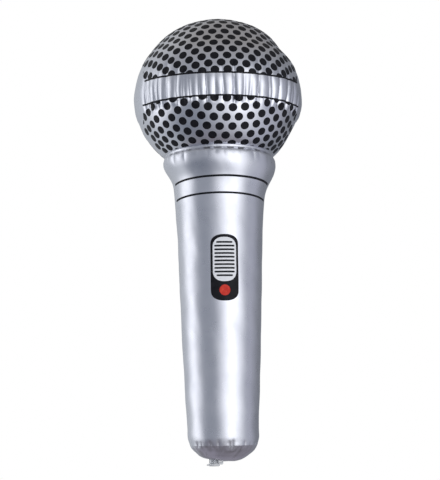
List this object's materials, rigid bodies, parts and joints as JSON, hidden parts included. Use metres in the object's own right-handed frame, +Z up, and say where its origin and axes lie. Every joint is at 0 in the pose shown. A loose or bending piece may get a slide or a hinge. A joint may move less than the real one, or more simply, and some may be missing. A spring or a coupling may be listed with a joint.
{
  "type": "inflatable toy microphone",
  "caption": "Inflatable toy microphone: a ball head with a dotted print on a flared, tapering handle with a printed switch, closed by a push-in air valve in its base.",
  "frame": {"origin": "on the axis in the middle of the grip, where the hand holds it", "axes": "+Z up the handle towards the head, -Y towards the front with the printed switch"},
  "size_m": [0.1566, 0.1568, 0.4148],
  "materials": {
    "printed_film": "silver metallic PVC film, printed with round black dots",
    "silver_film": "satin silver metallic PVC film",
    "clear_pvc": "soft clear PVC",
    "black_ink": "glossy black print",
    "pale_ink": "pale silver print",
    "red_ink": "red print"
  },
  "bodies": {
    "skin": {"dome_front_panel": "printed_film", "dome_back_panel": "printed_film", "cup_front_panel": "printed_film", "cup_back_panel": "printed_film", "handle_front_panel": "silver_film", "handle_back_panel": "silver_film", "base_cap": "silver_film", "band_line_upper": "black_ink", "band_line_lower": "black_ink", "flare_line_upper": "black_ink", "flare_line_lower": "black_ink", "switch_surround_print": "black_ink", "switch_slider_print": "pale_ink", "switch_stripes_print": "black_ink", "switch_dot_print": "red_ink", "valve_flange": "clear_pvc", "valve_diaphragm": "clear_pvc"},
    "stem": {"valve_stem": "clear_pvc"},
    "plug": {"valve_plug": "clear_pvc", "valve_tether": "clear_pvc"},
    "flap": {"valve_check_flap": "clear_pvc"}
  },
  "joints": [
    {"name": "valve_recess", "type": "slide", "parent": "skin", "child": "stem", "axis": [0, 0, -1], "range_m": [0, 0.007], "deforming": ["valve_diaphragm"]},
    {"name": "plug_hinge", "type": "hinge", "parent": "stem", "child": "plug", "pos_m": [-0.0017, 0, -0.1248], "axis": [0, -1, 0], "range_deg": [0, 120]},
    {"name": "check_flap_hinge", "type": "hinge", "parent": "stem", "child": "flap", "pos_m": [-0.0125, 0, -0.11245], "axis": [0, -1, 0], "range_deg": [0, 60], "stiffness_Nm_per_rad": 0.00005}
  ]
}
